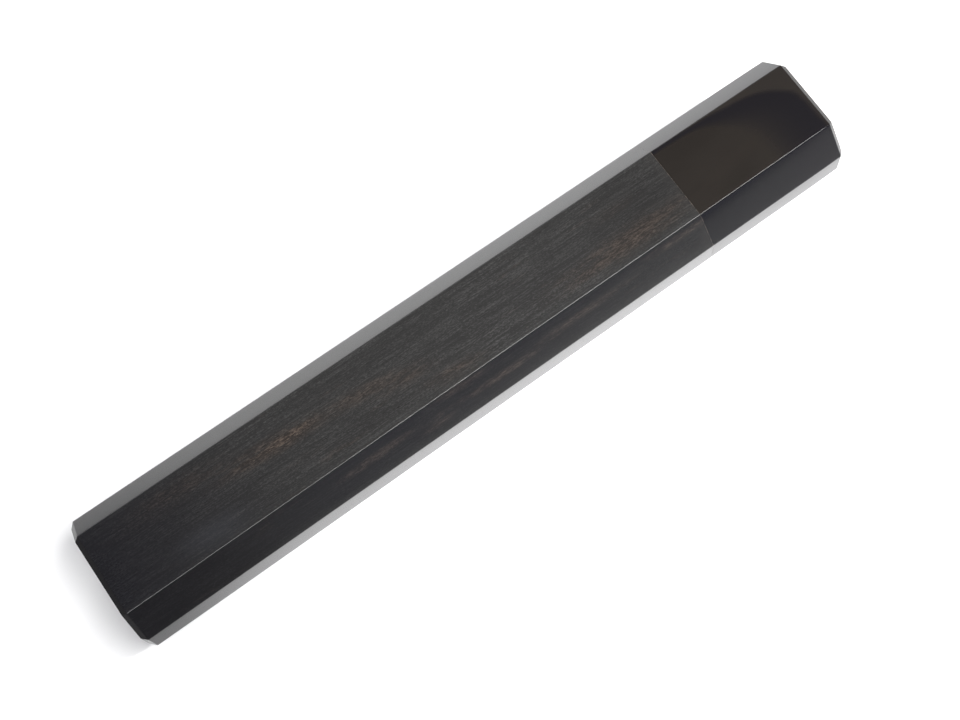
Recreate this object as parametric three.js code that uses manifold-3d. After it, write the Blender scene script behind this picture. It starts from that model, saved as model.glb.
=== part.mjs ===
// Octagonal hidden-tang knife handle, lying on one of its two wide facets.
// Millimetres. +X runs along the handle from the butt to the ferrule's face, +Y across the wide
// facets and +Z up through the thickness. The origin is at mid length, on the facet it lies on.
//
// The handle comes apart into a tapered ebony body, a horn ferrule whose facets run flush with the
// body's, the film of glue in the seam between them, and a round hardwood dowel that holds both
// together. The dowel is sawn down its middle, and the blade's tang is driven into that kerf.

import * as THREE from 'three';
import { ConvexGeometry } from 'three/addons/geometries/ConvexGeometry.js';
import { mergeVertices } from 'three/addons/utils/BufferGeometryUtils.js';
import Module from 'manifold-3d';

// ---- driving dimensions ----

const LENGTH = 148.8;
const FERRULE_LENGTH = 29.2;
const BEVEL_ACROSS = 4.4; // how far each long bevel reaches across the wide facets
const BUTT_SECTION = { width: 24.9, thickness: 17.9, bevelUp: 5.4 };
const FRONT_SECTION = { width: 23.0, thickness: 17.7, bevelUp: 6.0 };
const BUTT_CHAMFER = 1.0;
const FRONT_CHAMFER = 0.9;

const GLUE_FILM = 0.2;
const GLUE_SETBACK = 0.05; // the film ends just below the facets
const FACE_GAP = 0.02; // between the film and each of the faces it joins

const BORE_RADIUS = 6.0;
const BORE_DEPTH_IN_BODY = 66; // to the start of the drill point
const DRILL_POINT = 2.4;
const BORE_MOUTH_CHAMFER = 0.3;
const DOWEL_RADIUS = 5.7;
const DOWEL_DEPTH_IN_BODY = 64;
const DOWEL_SETBACK = 0.5; // behind the ferrule's face
const DOWEL_END_CHAMFER = 0.6;
const KERF_WIDTH = 4.8;
const KERF_DEPTH = 80; // from the dowel's front end

const ROUND_SEGMENTS = 64;
const CUT_MARGIN = 1; // how far a cutting tool runs past what it cuts

// ---- worked-out places ----

const BUTT_X = -LENGTH / 2;
const FRONT_X = LENGTH / 2;
const SEAM_X = FRONT_X - FERRULE_LENGTH; // middle of the glue film
const AXIS_Z = (BUTT_SECTION.thickness + FRONT_SECTION.thickness) / 4;
const DOWEL_FRONT_X = FRONT_X - DOWEL_SETBACK;
const DOWEL_BACK_X = SEAM_X - DOWEL_DEPTH_IN_BODY;
const BORE_END_X = SEAM_X - BORE_DEPTH_IN_BODY;

// ---- solids and booleans ----

const wasm = await Module();
wasm.setup();

function toSolid(geometry) {
  const plain = geometry.clone();
  plain.deleteAttribute('normal');
  plain.deleteAttribute('uv');
  const welded = mergeVertices(plain, 1e-4);
  return new wasm.Manifold(new wasm.Mesh({
    numProp: 3,
    vertProperties: new Float32Array(welded.attributes.position.array),
    triVerts: new Uint32Array(welded.index.array),
  }));
}

function toGeometry(solid) {
  const mesh = solid.getMesh();
  const geometry = new THREE.BufferGeometry();
  geometry.setAttribute('position', new THREE.BufferAttribute(mesh.vertProperties, 3));
  geometry.setIndex(new THREE.BufferAttribute(mesh.triVerts, 1));
  geometry.computeVertexNormals();
  return geometry;
}

// A block that spans the whole section between two places along the handle.
function slab(fromX, toX) {
  const span = 2 * BUTT_SECTION.width;
  const box = new THREE.BoxGeometry(toX - fromX, span, span);
  box.translate((fromX + toX) / 2, 0, 0);
  return toSolid(box);
}

// A round solid on the handle's axis, turned from (x, radius) points that start and end on the axis.
function turned(profile) {
  const points = profile.map(([x, radius]) => new THREE.Vector2(radius, x));
  const geometry = new THREE.LatheGeometry(points, ROUND_SEGMENTS);
  geometry.rotateZ(-Math.PI / 2);
  geometry.translate(0, 0, AXIS_Z);
  return toSolid(geometry);
}

// ---- the tapered octagonal blank ----

function sectionAt(x) {
  const share = (x - BUTT_X) / LENGTH;
  const mix = (key) => THREE.MathUtils.lerp(BUTT_SECTION[key], FRONT_SECTION[key], share);
  return { width: mix('width'), thickness: mix('thickness'), bevelUp: mix('bevelUp') };
}

// The eight corners of the section at x, drawn in by `inset` on every side.
function corners(x, inset = 0) {
  const { width, thickness, bevelUp } = sectionAt(x);
  const slope = Math.hypot(BEVEL_ACROSS, bevelUp);
  const flatInset = inset * (slope - BEVEL_ACROSS) / bevelUp;
  const sideInset = inset * (slope - bevelUp) / BEVEL_ACROSS;
  const quarter = [
    [width / 2 - BEVEL_ACROSS - flatInset, inset],
    [width / 2 - inset, bevelUp + sideInset],
  ];
  return quarter.flatMap(([y, z]) => [
    new THREE.Vector3(x, y, z),
    new THREE.Vector3(x, -y, z),
    new THREE.Vector3(x, y, thickness - z),
    new THREE.Vector3(x, -y, thickness - z),
  ]);
}

function blank(inset = 0) {
  const endInset = (chamfer) => Math.max(chamfer, inset);
  return toSolid(new ConvexGeometry([
    ...corners(BUTT_X, endInset(BUTT_CHAMFER)),
    ...corners(BUTT_X + BUTT_CHAMFER, inset),
    ...corners(FRONT_X - FRONT_CHAMFER, inset),
    ...corners(FRONT_X, endInset(FRONT_CHAMFER)),
  ]));
}

// ---- the bore through the ferrule and into the body ----

function bore() {
  const mouth = BORE_RADIUS + BORE_MOUTH_CHAMFER;
  return turned([
    [BORE_END_X - DRILL_POINT, 0],
    [BORE_END_X, BORE_RADIUS],
    [FRONT_X - BORE_MOUTH_CHAMFER, BORE_RADIUS],
    [FRONT_X, mouth],
    [FRONT_X + CUT_MARGIN, mouth],
    [FRONT_X + CUT_MARGIN, 0],
  ]);
}

// ---- the four pieces ----

function ebonyBody() {
  const front = SEAM_X - GLUE_FILM / 2 - FACE_GAP;
  return blank().intersect(slab(BUTT_X - CUT_MARGIN, front)).subtract(bore());
}

function hornFerrule() {
  const back = SEAM_X + GLUE_FILM / 2 + FACE_GAP;
  return blank().intersect(slab(back, FRONT_X + CUT_MARGIN)).subtract(bore());
}

function seamGlueFilm() {
  const plate = slab(SEAM_X - GLUE_FILM / 2, SEAM_X + GLUE_FILM / 2);
  return blank(GLUE_SETBACK).intersect(plate).subtract(bore());
}

function coreDowel() {
  const shoulder = DOWEL_RADIUS - DOWEL_END_CHAMFER;
  const rod = turned([
    [DOWEL_BACK_X, 0],
    [DOWEL_BACK_X, shoulder],
    [DOWEL_BACK_X + DOWEL_END_CHAMFER, DOWEL_RADIUS],
    [DOWEL_FRONT_X - DOWEL_END_CHAMFER, DOWEL_RADIUS],
    [DOWEL_FRONT_X, shoulder],
    [DOWEL_FRONT_X, 0],
  ]);
  const kerf = new THREE.BoxGeometry(KERF_DEPTH + CUT_MARGIN, 3 * DOWEL_RADIUS, KERF_WIDTH);
  kerf.translate(DOWEL_FRONT_X + (CUT_MARGIN - KERF_DEPTH) / 2, 0, AXIS_Z);
  return rod.subtract(toSolid(kerf));
}

// ---- finishes and assembly ----

const ebony = new THREE.MeshStandardMaterial({ color: 0x1b1817, roughness: 0.42, metalness: 0 });
const horn = new THREE.MeshStandardMaterial({ color: 0x17130f, roughness: 0.14, metalness: 0 });
const paleWood = new THREE.MeshStandardMaterial({ color: 0xc79a62, roughness: 0.7, metalness: 0 });
const glue = new THREE.MeshStandardMaterial({ color: 0x8f7a5c, roughness: 0.35, metalness: 0 });

const handle = new THREE.Group();

function addPiece(name, solid, material) {
  const mesh = new THREE.Mesh(toGeometry(solid), material);
  mesh.name = name;
  handle.add(mesh);
}

addPiece('ebony_body', ebonyBody(), ebony);
addPiece('horn_ferrule', hornFerrule(), horn);
addPiece('seam_glue_film', seamGlueFilm(), glue);
addPiece('core_dowel', coreDowel(), paleWood);

export default handle;
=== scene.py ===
"""The looks of an octagonal knife handle: ebony body, polished horn ferrule and slotted dowel.

Metres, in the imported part's frame: +X runs from the butt to the ferrule's face, +Y across the wide
facets, +Z up. The handle lies on one of its wide facets, at z = 0.
"""

import math

import bmesh
import bpy
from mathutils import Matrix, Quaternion, Vector, noise


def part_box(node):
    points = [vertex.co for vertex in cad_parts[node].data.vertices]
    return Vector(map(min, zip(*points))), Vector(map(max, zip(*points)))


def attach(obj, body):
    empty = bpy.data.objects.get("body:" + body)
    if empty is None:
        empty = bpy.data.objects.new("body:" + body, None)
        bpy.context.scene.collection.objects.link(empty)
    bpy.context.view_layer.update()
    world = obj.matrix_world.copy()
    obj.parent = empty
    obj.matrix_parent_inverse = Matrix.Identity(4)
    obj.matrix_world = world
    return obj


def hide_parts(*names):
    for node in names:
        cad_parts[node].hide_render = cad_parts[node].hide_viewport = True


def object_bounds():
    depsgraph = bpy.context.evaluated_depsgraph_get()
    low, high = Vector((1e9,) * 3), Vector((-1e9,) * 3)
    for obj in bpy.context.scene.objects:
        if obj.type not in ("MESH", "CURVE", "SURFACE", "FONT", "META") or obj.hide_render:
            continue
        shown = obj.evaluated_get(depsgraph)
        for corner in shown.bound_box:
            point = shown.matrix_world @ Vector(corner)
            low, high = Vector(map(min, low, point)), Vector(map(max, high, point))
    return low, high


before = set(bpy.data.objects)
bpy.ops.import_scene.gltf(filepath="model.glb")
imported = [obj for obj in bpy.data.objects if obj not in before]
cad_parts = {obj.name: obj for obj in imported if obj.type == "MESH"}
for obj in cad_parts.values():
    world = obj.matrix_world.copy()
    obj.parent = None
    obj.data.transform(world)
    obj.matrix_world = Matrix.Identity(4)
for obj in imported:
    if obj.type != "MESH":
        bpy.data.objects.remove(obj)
cad_low, cad_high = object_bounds()

MM = 0.001

# ---- driving dimensions of the section, the same as in the CAD ----

BUTT_SECTION = {"width": 24.9 * MM, "thickness": 17.9 * MM, "bevel_up": 5.4 * MM}
FRONT_SECTION = {"width": 23.0 * MM, "thickness": 17.7 * MM, "bevel_up": 6.0 * MM}
BEVEL_ACROSS = 4.4 * MM
BUTT_CHAMFER = 1.0 * MM
FRONT_CHAMFER = 0.9 * MM
DRILL_POINT = 2.4 * MM

# ---- how the real surfaces depart from flat facets and sharp edges ----

EBONY_EDGE = 0.33 * MM  # radius of the eased long edges
HORN_EDGE = 0.3 * MM
CHAMFER_EDGE = 0.22 * MM  # radius of the eased edges of the end chamfers
MOUTH_CHAMFER = 0.3 * MM
SEAM_WIDTH = 0.07 * MM
SEAM_SINK = 0.015 * MM
SANDING = 0.02 * MM  # height of the long waves that hand sanding leaves
SANDING_SPAN = 14 * MM
EBONY_RIM = {"reach": 1.6 * MM, "depth": 0.016 * MM}  # how a facet falls away towards its edges
HORN_RIM = {"reach": 2.6 * MM, "depth": 0.02 * MM}
HORN_NOSE = {"reach": 7.0 * MM, "depth": 0.06 * MM}  # and towards the ferrule's face

# ---- places taken from the frame ----

film_low, film_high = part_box("seam_glue_film")
dowel_low, dowel_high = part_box("core_dowel")

BUTT_X = cad_low.x
FRONT_X = cad_high.x
SEAM_X = (film_low.x + film_high.x) / 2
AXIS_Z = (dowel_low.z + dowel_high.z) / 2
DOWEL_RADIUS = (dowel_high.z - dowel_low.z) / 2
BORE_RADIUS = DOWEL_RADIUS + 0.3 * MM
BORE_END_X = dowel_low.x - 2 * MM
KERF_HALF = 2.4 * MM
KERF_END_X = dowel_high.x - 80 * MM
DOWEL_GAP = 0.02 * MM  # between the dowel and the bore's wall
DOWEL_TAIL_EASE = 0.6 * MM
SAWN_EDGE = 0.12 * MM

# ---- mesh helpers ----

ARC_STEPS = 5
FACET_STOPS = (0.0, 0.03, 0.08, 0.15, 0.25, 0.38, 0.5, 0.62, 0.75, 0.85, 0.92, 0.97, 1.0)
RING_STEP = 2.0 * MM
SHARP_ANGLE = math.radians(30)
SAWN_ANGLE = math.radians(40)
END_CORE_RADIUS = 2.0 * MM  # the innermost ring on the butt's face
CHEEK_STEPS = 24  # round each of the dowel's cheeks
KERF_STEPS = 8  # across the kerf


def lerp(a, b, share):
    return a + (b - a) * share


def section_at(x):
    """The section's sizes at x, which change evenly along the taper."""
    share = (x - BUTT_X) / (FRONT_X - BUTT_X)
    return {key: lerp(BUTT_SECTION[key], FRONT_SECTION[key], share) for key in BUTT_SECTION}


def fall(distance, reach, depth):
    """How far a surface has dropped at this distance from the edge it falls away to."""
    return depth * max(0.0, 1 - distance / reach) ** 2


def octagon(x, inset):
    """The eight facets of the section at x, drawn in by inset.

    Each is (start, end, outward normal), in (y, z).
    """
    s = section_at(x)
    half, top, up = s["width"] / 2, s["thickness"], s["bevel_up"]
    flat = half - BEVEL_ACROSS
    loop = [(flat, 0), (half, up), (half, top - up), (flat, top)]
    loop += [(-y, z) for y, z in reversed(loop)]
    facets = []
    for start, end in zip(loop, loop[1:] + loop[:1]):
        a, b = Vector(start), Vector(end)
        along = (b - a).normalized()
        facets.append((a, b, Vector((along.y, -along.x))))
    drawn_in = []
    for i, (_, _, normal) in enumerate(facets):
        before, after = facets[i - 1], facets[(i + 1) % len(facets)]
        here = facets[i]
        drawn_in.append((
            meeting_point(before, here, inset),
            meeting_point(here, after, inset),
            normal,
        ))
    return drawn_in


def meeting_point(first, second, inset):
    """Where two neighbouring facets meet once both are moved inwards by inset."""
    corner = second[0]
    bisector = (first[2] + second[2]).normalized()
    return corner - bisector * (inset / bisector.dot(second[2]))


def outline(x, inset, edge, rim, nose=None):
    """A closed ring of points at x, with eased corners and facets that fall away."""
    nose_drop = fall(FRONT_X - x, **nose) if nose else 0.0
    facets = octagon(x, inset + edge)
    ring = []
    for i, (start, end, normal) in enumerate(facets):
        length = (end - start).length
        for stop in FACET_STOPS:
            middle = start.lerp(end, stop)
            to_edge = min(stop, 1 - stop) * length
            wave = noise.noise(Vector((x, middle.x, middle.y)) / SANDING_SPAN) * 0.5 + 0.5
            drop = fall(to_edge, **rim) + nose_drop + SANDING * wave
            point = middle + normal * (edge - drop)
            ring.append(Vector((x, point.x, point.y)))
        following = facets[(i + 1) % len(facets)][2]
        corner_drop = fall(0.0, **rim) + nose_drop
        wave = noise.noise(Vector((x, end.x, end.y)) / SANDING_SPAN) * 0.5 + 0.5
        for step in range(1, ARC_STEPS):
            turn = normal.lerp(following, step / ARC_STEPS).normalized()
            point = end + turn * (edge - corner_drop - SANDING * wave)
            ring.append(Vector((x, point.x, point.y)))
    return ring


def chamfer_profile(chamfer, radius):
    """(distance from the end, inset) points of a 45 degree chamfer with both of its edges eased."""
    centre = chamfer + radius * math.tan(math.radians(22.5))
    points = []
    for first, about in ((0, (radius, centre)), (45, (centre, radius))):
        for step in range(ARC_STEPS):
            angle = math.radians(first + 45 * step / (ARC_STEPS - 1))
            away = (radius * math.cos(angle), radius * math.sin(angle))
            points.append((about[0] - away[0], about[1] - away[1]))
    return points


def stations(low, high):
    """Places along the handle between two stations, both left out."""
    count = max(1, round((high - low) / RING_STEP))
    return [lerp(low, high, i / count) for i in range(1, count)]


def circle_like(ring, x, radius):
    """The points of a ring moved onto a circle about the handle's axis."""
    points = []
    for p in ring:
        away = Vector((p.y, p.z - AXIS_Z)).normalized() * radius
        points.append(Vector((x, away.x, AXIS_Z + away.y)))
    return points


def between(ring, other, share):
    return [p.lerp(q, share) for p, q in zip(ring, other)]


def loft(name, rings, tips=None):
    """One closed mesh through rings of equal length, between two tips or joined end to end."""
    mesh = bmesh.new()
    made = [[mesh.verts.new(p) for p in ring] for ring in rings]
    pairs = list(zip(made, made[1:]))
    if tips is None:
        pairs.append((made[-1], made[0]))
    count = len(rings[0])
    for ring, other in pairs:
        for i in range(count):
            j = (i + 1) % count
            mesh.faces.new((ring[i], ring[j], other[j], other[i]))
    if tips is not None:
        for ring, tip, order in ((made[0], tips[0], -1), (made[-1], tips[1], 1)):
            point = mesh.verts.new(tip)
            for i in range(count):
                mesh.faces.new((ring[i], ring[(i + 1) % count], point)[::order])
    return finished(name, mesh)


def finished(name, mesh):
    bmesh.ops.recalc_face_normals(mesh, faces=mesh.faces)
    for face in mesh.faces:
        face.smooth = True
    for edge in mesh.edges:
        edge.smooth = edge.calc_face_angle(0) < SHARP_ANGLE
    data = bpy.data.meshes.new(name)
    mesh.to_mesh(data)
    mesh.free()
    piece = bpy.data.objects.new(name, data)
    bpy.context.scene.collection.objects.link(piece)
    weighted = piece.modifiers.new("even_shading", "WEIGHTED_NORMAL")
    weighted.keep_sharp = True
    weighted.weight = 80
    return piece


def bore_rings(ring, mouth_x, inner_x, chamfer):
    """Rings from a face at mouth_x, down a chamfered mouth, to inner_x on the bore's wall."""
    inwards = 1 if inner_x > mouth_x else -1
    mouth = circle_like(ring, mouth_x, BORE_RADIUS + chamfer)
    rings = [between(ring, mouth, share) for share in (0.35, 0.7)]
    rings.append(mouth)
    if chamfer:
        rings.append(circle_like(ring, mouth_x + inwards * chamfer, BORE_RADIUS))
    low, high = sorted((rings[-1][0].x, inner_x))
    inside = stations(low, high)
    if inwards < 0:
        inside.reverse()
    rings += [circle_like(ring, x, BORE_RADIUS) for x in inside + [inner_x]]
    return rings


# ---- the pieces ----


def make_ebony_body():
    shape = {"edge": EBONY_EDGE, "rim": EBONY_RIM}
    front = SEAM_X - SEAM_WIDTH / 2
    profile = chamfer_profile(BUTT_CHAMFER, CHAMFER_EDGE)
    rim = outline(BUTT_X, profile[0][1], **shape)
    centre = circle_like(rim, BUTT_X, END_CORE_RADIUS)
    rings = [between(centre, rim, share) for share in (0.0, 0.4, 0.8)]
    rings += [outline(BUTT_X + along, inset, **shape) for along, inset in profile]
    rings += [outline(x, 0, **shape) for x in stations(BUTT_X + profile[-1][0], front)]
    rings.append(outline(front, 0, **shape))
    rings += bore_rings(rings[-1], front, BORE_END_X, 0)
    tips = ((BUTT_X, 0, AXIS_Z), (BORE_END_X - DRILL_POINT, 0, AXIS_Z))
    return loft("ebony_body_shaped", rings, tips)


def make_horn_ferrule():
    shape = {"edge": HORN_EDGE, "rim": HORN_RIM, "nose": HORN_NOSE}
    back = SEAM_X + SEAM_WIDTH / 2
    profile = chamfer_profile(FRONT_CHAMFER, CHAMFER_EDGE)
    rings = [outline(x, 0, **shape) for x in [back] + stations(back, FRONT_X - profile[-1][0])]
    rings += [outline(FRONT_X - along, inset, **shape) for along, inset in reversed(profile)]
    rings += bore_rings(rings[-1], FRONT_X, back, MOUTH_CHAMFER)
    rings.append(between(rings[-1], rings[0], 0.5))
    return loft("horn_ferrule_polished", rings)


def make_seam_film():
    half = SEAM_WIDTH / 2
    shape = {"edge": EBONY_EDGE, "rim": EBONY_RIM}
    rings = [outline(SEAM_X + side * half, SEAM_SINK, **shape) for side in (-1, 1)]
    rings += [circle_like(rings[0], SEAM_X + side * half, BORE_RADIUS) for side in (1, -1)]
    return loft("seam_glue_line", rings)


def make_core_dowel():
    """A round rod that fills the bore, sawn down its middle from the front into two cheeks."""
    radius = BORE_RADIUS - DOWEL_GAP
    lift = math.asin(KERF_HALF / radius)
    upper = [lerp(lift, math.pi - lift, i / CHEEK_STEPS) for i in range(CHEEK_STEPS + 1)]
    side = [lerp(math.pi - lift, math.pi + lift, i / KERF_STEPS) for i in range(1, KERF_STEPS)]
    angles = upper + side + [a + math.pi for a in upper] + [a + math.pi for a in side]
    mesh = bmesh.new()

    def ring(x, r=radius):
        return [mesh.verts.new((x, r * math.cos(a), AXIS_Z + r * math.sin(a))) for a in angles]

    def skin(first, second, indices):
        for i, j in zip(indices, indices[1:]):
            mesh.faces.new((first[i], first[j], second[j], second[i]))

    count = len(angles)
    whole = list(range(count)) + [0]
    back = ring(dowel_low.x, radius - DOWEL_TAIL_EASE)
    shoulder = ring(dowel_low.x + DOWEL_TAIL_EASE)
    root = ring(KERF_END_X)
    front = ring(dowel_high.x)
    mesh.faces.new(back)
    skin(back, shoulder, whole)
    skin(shoulder, root, whole)
    half = count // 2
    cheeks = [list(range(len(upper))), list(range(half, half + len(upper)))]
    for cheek in cheeks:
        skin(root, front, cheek)
        mesh.faces.new([front[i] for i in cheek])
        a, b = cheek[0], cheek[-1]
        mesh.faces.new((root[a], root[b], front[b], front[a]))
    kerf_floor = list(range(len(upper) - 1, half + 1))
    kerf_floor += list(range(half + len(upper) - 1, count)) + [0]
    mesh.faces.new([root[i] for i in kerf_floor])
    unused = [v for v in front if not v.link_faces]
    bmesh.ops.delete(mesh, geom=unused, context="VERTS")
    piece = finished("core_dowel_sawn", mesh)
    bevel = piece.modifiers.new("sawn_edges", "BEVEL")
    bevel.width = SAWN_EDGE
    bevel.segments = 2
    bevel.limit_method = "ANGLE"
    bevel.angle_limit = SAWN_ANGLE
    piece.modifiers.move(1, 0)
    return piece


# ---- materials ----


class Shader:
    """A material on one Principled BSDF, with short calls for adding and linking nodes.

    The plain roughness shows only where the nodes can't be read.
    """

    def __init__(self, name, roughness, ior=1.5):
        self.material = bpy.data.materials.new(name)
        self.material.use_nodes = True
        self.tree = self.material.node_tree
        self.surface = self.tree.nodes["Principled BSDF"]
        self.surface.inputs["Roughness"].default_value = roughness
        self.surface.inputs["IOR"].default_value = ior
        texture = self.add("ShaderNodeTexCoord")
        to_mm = self.add("ShaderNodeMapping")
        to_mm.inputs["Scale"].default_value = (1 / MM,) * 3
        self.link(texture.outputs["Object"], to_mm.inputs["Vector"])
        self.place = to_mm.outputs["Vector"]

    def add(self, kind, **settings):
        node = self.tree.nodes.new(kind)
        for key, value in settings.items():
            setattr(node, key, value)
        return node

    def link(self, source, target):
        self.tree.links.new(source, target)

    def stretched(self, scale, turn=(0, 0, 0), place=None):
        """A place in millimetres, turned in degrees and then scaled along each axis."""
        node = self.add("ShaderNodeMapping", vector_type="TEXTURE")
        node.inputs["Rotation"].default_value = [math.radians(a) for a in turn]
        node.inputs["Scale"].default_value = scale
        self.link(place or self.place, node.inputs["Vector"])
        return node.outputs["Vector"]

    def waved(self, span, height):
        """The place in millimetres, pushed across the handle in waves of this span and height."""
        node = self.add("ShaderNodeTexNoise")
        node.inputs["Scale"].default_value = 1 / span
        node.inputs["Detail"].default_value = 2.0
        self.link(self.place, node.inputs["Vector"])
        push = self.add("ShaderNodeVectorMath", operation="MULTIPLY_ADD")
        self.link(node.outputs["Color"], push.inputs[0])
        push.inputs[1].default_value = (0, 2 * height, 2 * height)
        self.link(self.place, push.inputs[2])
        return push.outputs["Vector"]

    def noise(self, vector, detail=3.0, roughness=0.5, distortion=0.0):
        node = self.add("ShaderNodeTexNoise")
        node.inputs["Scale"].default_value = 1.0
        node.inputs["Detail"].default_value = detail
        node.inputs["Roughness"].default_value = roughness
        node.inputs["Distortion"].default_value = distortion
        self.link(vector, node.inputs["Vector"])
        return node.outputs["Fac"]

    def ramp(self, value, low, high, to_low=0.0, to_high=1.0):
        """value brought smoothly from the range low..high to the range to_low..to_high."""
        node = self.add("ShaderNodeMapRange", interpolation_type="SMOOTHSTEP")
        limits = {"From Min": low, "From Max": high, "To Min": to_low, "To Max": to_high}
        for key, number in limits.items():
            node.inputs[key].default_value = number
        self.link(value, node.inputs["Value"])
        return node.outputs["Result"]

    def maths(self, operation, first, second):
        node = self.add("ShaderNodeMath", operation=operation)
        for socket, value in zip(node.inputs, (first, second)):
            if isinstance(value, (int, float)):
                socket.default_value = value
            else:
                self.link(value, socket)
        return node.outputs["Value"]

    def mix(self, share, first, second):
        """A colour between two others; each is a colour or the output of a node."""
        node = self.add("ShaderNodeMix", data_type="RGBA")
        self.link(share, node.inputs["Factor"])
        for socket, value in ((node.inputs[6], first), (node.inputs[7], second)):
            if isinstance(value, tuple):
                socket.default_value = (*value, 1)
            else:
                self.link(value, socket)
        return node.outputs[2]

    def weighted(self, first, share, second):
        """The sum of share of the first value and the rest of the second."""
        rest = self.maths("MULTIPLY", second, 1 - share)
        return self.maths("ADD", self.maths("MULTIPLY", first, share), rest)

    def tint(self, colour, where, strength, towards):
        """A colour drawn part of the way towards another, where a value says."""
        return self.mix(self.maths("MULTIPLY", where, strength), colour, towards)

    def lens(self, centre, reach, turn=0.0):
        """1 at centre, falling to 0 at reach millimetres along each axis, turned about Z."""
        node = self.add("ShaderNodeMapping", vector_type="TEXTURE")
        node.inputs["Location"].default_value = centre
        node.inputs["Rotation"].default_value[2] = math.radians(turn)
        node.inputs["Scale"].default_value = reach
        self.link(self.place, node.inputs["Vector"])
        length = self.add("ShaderNodeVectorMath", operation="LENGTH")
        self.link(node.outputs["Vector"], length.inputs[0])
        return self.ramp(length.outputs["Value"], 0.0, 1.0, 1.0, 0.0)

    def lenses(self, rows):
        """The strongest of several lenses, each (centre, reach, turn, strength)."""
        strongest = None
        for centre, reach, turn, strength in rows:
            here = self.maths("MULTIPLY", self.lens(centre, reach, turn), strength)
            strongest = here if strongest is None else self.maths("MAXIMUM", strongest, here)
        return strongest

    def corner_distance(self, centre, reach, power, slope, lean):
        """How far out a place lies, 1 on a rounded corner about centre, and its X from the centre.

        The corner is drawn in X and Y. It slopes in Y along X, and leans in Y as Z falls.
        """
        split = self.add("ShaderNodeSeparateXYZ")
        self.link(self.place, split.inputs["Vector"])
        x, y, z = (self.maths("SUBTRACT", split.outputs[i], centre[i]) for i in range(3))
        y = self.maths("ADD", y, self.maths("MULTIPLY", z, lean))
        y = self.maths("ADD", y, self.maths("MULTIPLY", x, slope))
        parts = []
        for value, half in ((x, reach[0]), (y, reach[1])):
            share = self.maths("DIVIDE", self.maths("MAXIMUM", value, 0.0), half)
            parts.append(self.maths("POWER", share, power))
        return self.maths("POWER", self.maths("ADD", *parts), 1 / power), x

    def facing(self, axis, low, high):
        """0 to 1 as the surface turns to face along an axis, in either sense."""
        split = self.add("ShaderNodeSeparateXYZ")
        self.link(self.add("ShaderNodeTexCoord").outputs["Normal"], split.inputs["Vector"])
        return self.ramp(self.maths("ABSOLUTE", split.outputs[axis], 0.0), low, high)

    def wear(self, patches):
        """1 on the eased edges where hands and cloths have rubbed them most, 0 on the facets."""
        edges = self.ramp(self.add("ShaderNodeNewGeometry").outputs["Pointiness"], 0.51, 0.58)
        return self.maths("MULTIPLY", edges, self.ramp(patches, 0.35, 0.65, 0.3, 1.0))

    def bump(self, height, distance, strength=1.0, under=None):
        node = self.add("ShaderNodeBump")
        node.inputs["Strength"].default_value = strength
        node.inputs["Distance"].default_value = distance
        self.link(height, node.inputs["Height"])
        if under is not None:
            self.link(under, node.inputs["Normal"])
        return node.outputs["Normal"]

    def set(self, name, output):
        self.link(output, self.surface.inputs[name])


GRAIN_TURN = (0, 1.0, -1.0)  # the grain runs a little askew to the handle's axis, in degrees

# Where brown heartwood shows in the black: centre and reach along each axis in millimetres,
# turn in degrees, and strength.
BROWN_STREAKS = (
    ((-57, 4.5, 17), (17, 3.2, 9), 0, 0.55),
    ((-37, 1.7, 17), (20, 2.6, 7), -3, 1.0),
    ((-22, 0.8, 17), (13, 2.4, 6), -5, 0.8),
    ((-14, -1.2, 17), (10, 2.6, 5), -8, 0.55),
    ((-5, -5.6, 17), (9, 2.2, 4), -6, 0.6),
    ((33, -3.7, 17), (24, 3.6, 5), 1, 0.9),
    ((33, 2.4, 17), (7, 1.6, 4), 0, 0.35),
    ((-25, -9.7, 15.8), (11, 1.6, 1.2), 2, 0.65),
    ((-6, -8.4, 17.3), (9, 1.6, 0.8), 0, 0.7),
    ((-12, -10.9, 14.1), (5, 1.6, 0.9), 0, 0.6),
    ((2, -10.1, 14.8), (12, 1.6, 1.0), -2, 0.6),
    ((19, -9.6, 15.6), (16, 1.6, 1.0), 1, 0.6),
    ((41, -8.5, 16.7), (11, 1.6, 1.0), 2, 0.8),
)
PAINTED_SHEEN_PATCH = ((-54, -5.0, 17), (11, 4.0, 6), -4)  # centre, reach and turn of a painted sheen: a pale bluish patch standing in for a reflection
PAINTED_SHADE_BUTT = ((-80, -2, 17), (47, 40, 40))  # painted shade: the wood is darkened towards the butt, where less light falls
DARK_SEAM = ((39, 0, 17), (17, 18, 12))  # a little darker beside the seam
PAINTED_SHADE_SIDES = ((-80, -12, 9), (62, 50, 60))  # where the sides' reflection is turned down: painted shade for the dimmer light towards the butt

# Fibre colours are (darkest, lightest).
EBONY = {
    "black": ((0.0218, 0.0216, 0.0214), (0.0500, 0.0492, 0.0484)),
    "brown": ((0.0225, 0.0190, 0.0170), (0.0800, 0.0620, 0.0510)),
    "painted_shade": ((0.0105, 0.0103, 0.0118), (0.0175, 0.0172, 0.0192)),
    "side": (0.0080, 0.0077, 0.0077),
    "band": (0.0180, 0.0177, 0.0178),
    "seam": (0.0080, 0.0075, 0.0075),
    "painted_sheen": (0.0360, 0.0375, 0.0430),
    "end_grain": (0.0085, 0.0075, 0.0075),
    "pore": (0.0080, 0.0075, 0.0075),
    "rubbed": (0.0340, 0.0300, 0.0280),
}


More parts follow.
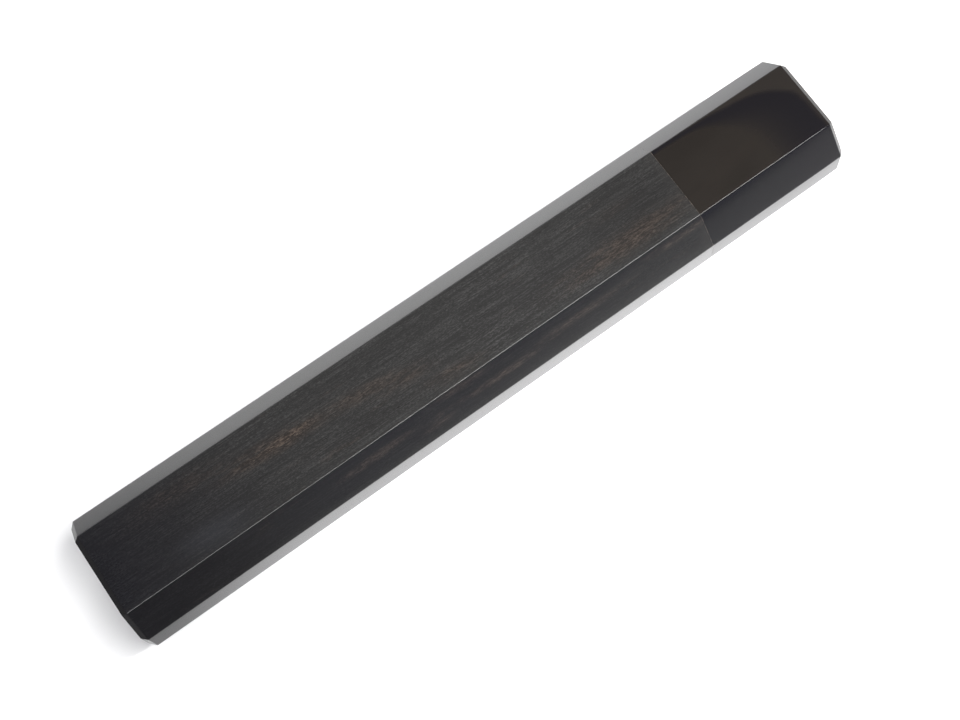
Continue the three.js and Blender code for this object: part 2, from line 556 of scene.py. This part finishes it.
def ebony_material():
    s = Shader("oiled_ebony", roughness=0.15, ior=1.46)

    def grain(scale, **settings):
        return s.noise(s.stretched(scale, GRAIN_TURN, waves), **settings)

    waves = s.waved(8.0, 0.2)
    streaks = grain((9.0, 0.20, 0.20), detail=1)
    flecks = grain((0.42, 0.09, 0.09), detail=1)
    dashes = grain((1.8, 0.32, 0.32), detail=2, roughness=0.6)
    pores = grain((2.0, 0.12, 0.12), detail=1)
    figure = grain((13, 1.5, 2.4), detail=4, roughness=0.6)
    bands = s.noise(s.stretched((34, 5, 7), GRAIN_TURN), detail=2)
    fibres = s.weighted(streaks, 0.4, flecks)
    open_pore = s.ramp(pores, 0.66, 0.74)
    side = s.facing("Y", 0.3, 0.7)
    upright = s.facing("Y", 0.93, 0.99)
    end_grain = s.facing("X", 0.3, 0.6)
    worn = s.wear(figure)

    light = s.ramp(fibres, 0.45, 0.70)
    tan_dashes = s.ramp(s.weighted(dashes, 0.6, flecks), 0.44, 0.64)
    broken = s.ramp(figure, 0.36, 0.56, 0.4, 1.0)
    strays = s.ramp(figure, 0.58, 0.78, 0.0, 0.5)
    heartwood = s.maths("MULTIPLY", s.lenses(BROWN_STREAKS), broken)
    # Painted shade: the black wood is darkened on the bevels and sides, which take less light than
    # the top.
    black = s.tint(s.mix(light, *EBONY["black"]), side, 0.75, EBONY["side"])
    brown = s.mix(tan_dashes, *EBONY["brown"])
    wood = s.mix(s.maths("MAXIMUM", heartwood, strays), black, brown)
    wood = s.mix(s.ramp(bands, 0.35, 0.65, 0.0, 0.3), wood, EBONY["band"])
    # Painted shade: towards the butt the wood is darkened and turned bluer, standing in for the
    # dimmer light there.
    wood = s.mix(s.lens(*PAINTED_SHADE_BUTT), wood, s.mix(light, *EBONY["painted_shade"]))
    wood = s.tint(wood, s.lens(*DARK_SEAM), 0.3, EBONY["seam"])
    # Painted sheen: a pale bluish patch on the top, standing in for a reflection.
    wood = s.tint(wood, s.lens(*PAINTED_SHEEN_PATCH), 0.35, EBONY["painted_sheen"])
    wood = s.tint(wood, end_grain, 0.35, EBONY["end_grain"])
    wood = s.tint(wood, open_pore, 0.6, EBONY["pore"])
    s.set("Base Color", s.tint(wood, worn, 0.25, EBONY["rubbed"]))

    rough = s.ramp(fibres, 0.35, 0.65, 0.12, 0.17)
    rough = s.maths("ADD", rough, s.maths("MULTIPLY", open_pore, 0.10))
    s.set("Roughness", s.maths("SUBTRACT", rough, s.maths("MULTIPLY", worn, 0.03)))
    raised = s.bump(fibres, 0.0015 * MM, 0.3)
    sunk = s.maths("MULTIPLY", open_pore, -1.0)
    s.set("Normal", s.bump(sunk, 0.004 * MM, 0.3, under=raised))

    # The top is glossier than the bevels, and the end grain least. The upright sides get more
    # reflection than the top, a painted reflection that brightens them.
    gloss = s.ramp(side, 0.0, 1.0, 0.5, 0.4)
    gloss = s.maths("ADD", gloss, s.maths("MULTIPLY", upright, 0.14))
    gloss = s.maths("MULTIPLY", gloss, s.ramp(end_grain, 0.0, 1.0, 1.0, 0.1))
    # Painted shade: the sides' reflection is turned down towards the butt, standing in for the
    # dimmer light there.
    side_shade_painted = s.maths("MULTIPLY", side, s.lens(*PAINTED_SHADE_SIDES))
    side_shade_painted = s.maths("MULTIPLY", side_shade_painted, s.ramp(end_grain, 0.0, 1.0, 1.0, 0.0))
    gloss = s.maths("MULTIPLY", gloss, s.ramp(side_shade_painted, 0.0, 1.0, 1.0, 0.08))
    s.set("Specular IOR Level", gloss)
    return s.material


# The dark line follows a rounded corner near the horn's far and front edges: partly a growth line in
# the horn, partly a painted reflection of the polished rim. Centre and half axes in millimetres,
# roundness and tilts.
GROWTH_LINE_AND_PAINTED_RIM = {
    "centre": (44, -7.15, 17.8),
    "reach": (28.5, 14.0),
    "power": 4.8,
    "slope": 0.05,
    "lean": 0.6,
}
HORN = {
    "brown": ((0.0142, 0.0122, 0.0108), (0.0158, 0.0136, 0.0120)),  # (darkest, lightest)
    "layer": (0.0178, 0.0147, 0.0125),
    "beyond_and_painted_glow": (0.0185, 0.0160, 0.0145),
    "line": (0.0085, 0.0079, 0.0094),
    "side": (0.0060, 0.0062, 0.0078),
}


def horn_material():
    s = Shader("polished_horn", roughness=0.1, ior=1.46)
    layers = s.noise(s.stretched((26, 2.4, 2.4), (0, 2, 3)), distortion=0.6)
    cloud = s.noise(s.stretched((9, 5, 5)), detail=2, roughness=0.45)
    scratches = s.noise(s.stretched((0.05, 1.6, 0.05), (0, 0, 12)), detail=2)
    brown = s.mix(s.ramp(cloud, 0.3, 0.7), *HORN["brown"])
    brown = s.mix(s.ramp(layers, 0.5, 0.8, 0, 0.4), brown, HORN["layer"])
    # Partly painted reflection: the dark band along the far and front edges, drawn as a growth line.
    corner, along = s.corner_distance(**GROWTH_LINE_AND_PAINTED_RIM)
    line = s.maths("ADD", corner, s.ramp(cloud, 0.3, 0.7, -0.012, 0.012))
    fade_width = s.ramp(along, 8, 25, 0.05, 0.60)
    inside = s.maths("DIVIDE", s.maths("SUBTRACT", 1.0, line), fade_width)
    outside = s.ramp(line, 1.0, 1.06)
    dark = s.maths("SUBTRACT", s.ramp(inside, 0.05, 1.0, 1.0, 0.0), outside)
    # Painted shade with a blue painted reflection: the horn's sides and bevels are darkened and
    # turned blue, like the dim room they face.
    side = s.facing("Y", 0.3, 0.7)
    # Partly painted reflection: the lighter horn beyond the dark line stands in for the glow along
    # the polished rim.
    horn = s.tint(s.mix(outside, brown, HORN["beyond_and_painted_glow"]), side, 0.8, HORN["side"])
    s.set("Base Color", s.mix(dark, horn, HORN["line"]))
    rough = s.ramp(scratches, 0.35, 0.75, 0.075, 0.13)
    s.set("Roughness", s.maths("SUBTRACT", rough, s.maths("MULTIPLY", s.wear(layers), 0.02)))
    s.set("Specular IOR Level", s.ramp(side, 0.0, 1.0, 0.5, 0.38))
    return s.material


def glue_material():
    s = Shader("cured_glue", roughness=0.3)
    specks = s.noise(s.stretched((0.5, 0.7, 0.7)), detail=3, roughness=0.6)
    speckled = s.mix(s.ramp(specks, 0.40, 0.60), (0.018, 0.016, 0.015), (0.075, 0.060, 0.046))
    s.set("Base Color", speckled)
    s.set("Roughness", s.ramp(specks, 0.3, 0.7, 0.25, 0.4))
    return s.material


def dowel_material():
    s = Shader("raw_hardwood", roughness=0.65)
    rings = s.noise(s.stretched((40, 1.5, 0.5), (8, 1, 1)))
    fibres = s.noise(s.stretched((4, 0.18, 0.18), (0, 1, 1)), detail=4, roughness=0.6)
    saw = s.noise(s.stretched((0.35, 9, 9)), detail=2)
    wood = s.mix(s.ramp(rings, 0.35, 0.65), (0.50, 0.31, 0.15), (0.38, 0.21, 0.09))
    s.set("Base Color", s.mix(s.ramp(fibres, 0.45, 0.75, 0, 0.6), wood, (0.24, 0.12, 0.05)))
    s.set("Roughness", s.ramp(fibres, 0.3, 0.7, 0.58, 0.78))
    s.set("Normal", s.bump(saw, 0.04 * MM, 0.5, under=s.bump(fibres, 0.03 * MM, 0.6)))
    return s.material


# ---- dressing the frame ----

DRESSED = (
    (make_ebony_body, "ebony_body", "ebony", ebony_material),
    (make_horn_ferrule, "horn_ferrule", "horn", horn_material),
    (make_seam_film, "seam_glue_film", "glue", glue_material),
    (make_core_dowel, "core_dowel", "dowel_wood", dowel_material),
)

for make_piece, node_name, slot_name, make_material in DRESSED:
    dressed = make_piece()
    dressed.data.materials.append(make_material())
    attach(dressed, "root")
    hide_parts(node_name)

# ---- floor, light and camera ----

FLOOR_SIZE = 5.0
FLOOR_WHITE = (0.86, 0.86, 0.86)
BACKDROP_WHITE = (0.93, 0.93, 0.93)
LAMP_RADIUS = 0.06


def make_floor():
    mesh = bmesh.new()
    bmesh.ops.create_grid(mesh, x_segments=1, y_segments=1, size=FLOOR_SIZE / 2)
    data = bpy.data.meshes.new("floor")
    mesh.to_mesh(data)
    mesh.free()
    floor = bpy.data.objects.new("floor", data)
    bpy.context.scene.collection.objects.link(floor)
    paper = bpy.data.materials.new("white_paper")
    paper.use_nodes = True
    surface = paper.node_tree.nodes["Principled BSDF"]
    surface.inputs["Base Color"].default_value = (*FLOOR_WHITE, 1)
    surface.inputs["Roughness"].default_value = 0.9
    surface.inputs["Specular IOR Level"].default_value = 0.1
    data.materials.append(paper)


def aim(item, location, target):
    item.location = location
    item.rotation_mode = "QUATERNION"
    item.rotation_quaternion = (Vector(target) - Vector(location)).to_track_quat("-Z", "Y")


def area_light(name, location, target, size, power):
    data = bpy.data.lights.new(name, "AREA")
    data.shape = "RECTANGLE"
    data.size, data.size_y = size
    data.energy = power
    light = bpy.data.objects.new(name, data)
    bpy.context.scene.collection.objects.link(light)
    light.visible_camera = False
    aim(light, location, target)


def spot_light(name, location, target, cone, power):
    """A soft-edged pool of light about target; cone is its full angle in degrees."""
    data = bpy.data.lights.new(name, "SPOT")
    data.spot_size = math.radians(cone)
    data.spot_blend = 1.0
    data.shadow_soft_size = LAMP_RADIUS
    data.energy = power
    light = bpy.data.objects.new(name, data)
    bpy.context.scene.collection.objects.link(light)
    light.visible_camera = False
    aim(light, location, target)


ROOM = {
    "left_wall": (0.03, 0.03, 0.035),
    "right_wall": (0.22, 0.25, 0.40),
    "left_ceiling": (0.02, 0.023, 0.05),
    "right_ceiling": (0.06, 0.052, 0.045),
}


def make_room():
    """A dim room, brighter to the right, with a pale backdrop wherever the floor ends."""
    world = bpy.data.worlds.new("studio")
    bpy.context.scene.world = world
    world.use_nodes = True
    tree = world.node_tree
    nodes, links = tree.nodes, tree.links
    direction = nodes.new("ShaderNodeTexCoord")
    split = nodes.new("ShaderNodeSeparateXYZ")
    links.new(direction.outputs["Generated"], split.inputs["Vector"])

    def share(axis, low, high):
        node = nodes.new("ShaderNodeMapRange")
        node.interpolation_type = "SMOOTHSTEP"
        node.inputs["From Min"].default_value = low
        node.inputs["From Max"].default_value = high
        links.new(split.outputs[axis], node.inputs["Value"])
        return node.outputs["Result"]

    def mix(factor, first, second):
        node = nodes.new("ShaderNodeMix")
        node.data_type = "RGBA"
        links.new(factor, node.inputs["Factor"])
        for socket, value in ((node.inputs[6], first), (node.inputs[7], second)):
            if isinstance(value, tuple):
                socket.default_value = (*value, 1)
            else:
                links.new(value, socket)
        return node.outputs[2]

    walls = mix(share("X", -0.15, 0.10), ROOM["left_wall"], ROOM["right_wall"])
    ceiling = mix(share("X", -0.15, 0.08), ROOM["left_ceiling"], ROOM["right_ceiling"])
    room = mix(share("Z", 0.05, 0.5), walls, ceiling)
    seen = nodes.new("ShaderNodeLightPath").outputs["Is Camera Ray"]
    links.new(mix(seen, room, BACKDROP_WHITE), nodes["Background"].inputs["Color"])


def make_camera():
    """Above the handle, a little in front of it and towards the butt, turned clockwise."""
    target = Vector((0.25, -3.95, 8.9)) * MM
    distance = 320.95 * MM
    azimuth, elevation, roll = (math.radians(a) for a in (-23.11, 73.39, -12.24))
    level = math.cos(elevation)
    back = Vector((math.sin(azimuth) * level, -math.cos(azimuth) * level, math.sin(elevation)))
    data = bpy.data.cameras.new("camera")
    data.sensor_width = 36
    data.lens = 68.54
    data.clip_start, data.clip_end = 0.01, 20
    camera = bpy.data.objects.new("camera", data)
    bpy.context.scene.collection.objects.link(camera)
    camera.location = target + back * distance
    camera.rotation_mode = "QUATERNION"
    camera.rotation_quaternion = (-back).to_track_quat("-Z", "Y") @ Quaternion((0, 0, 1), roll)
    bpy.context.scene.camera = camera


make_floor()
make_room()
spot_light("key", (0.90, -0.40, 1.00), (0.04, -0.05, 0), cone=7, power=235)
spot_light("overhead", (0.10, -0.30, 1.20), (0.04, -0.06, 0), cone=10, power=10)
area_light("top_softbox", (0, -0.34, 1.4), (0, 0, 0), (1.4, 0.3), power=19)
area_light("front_strip", (0.45, -0.34, 1.35), (0.05, 0, 0), (0.6, 0.3), power=6.5)
area_light("back_softbox", (0, 1.1, 0.6), (0, 0, 0), (1.4, 0.5), power=8)
make_camera()

settings = bpy.context.scene.view_settings
settings.view_transform = "Standard"
settings.look = "None"
settings.exposure = 0.0
settings.gamma = 1.0
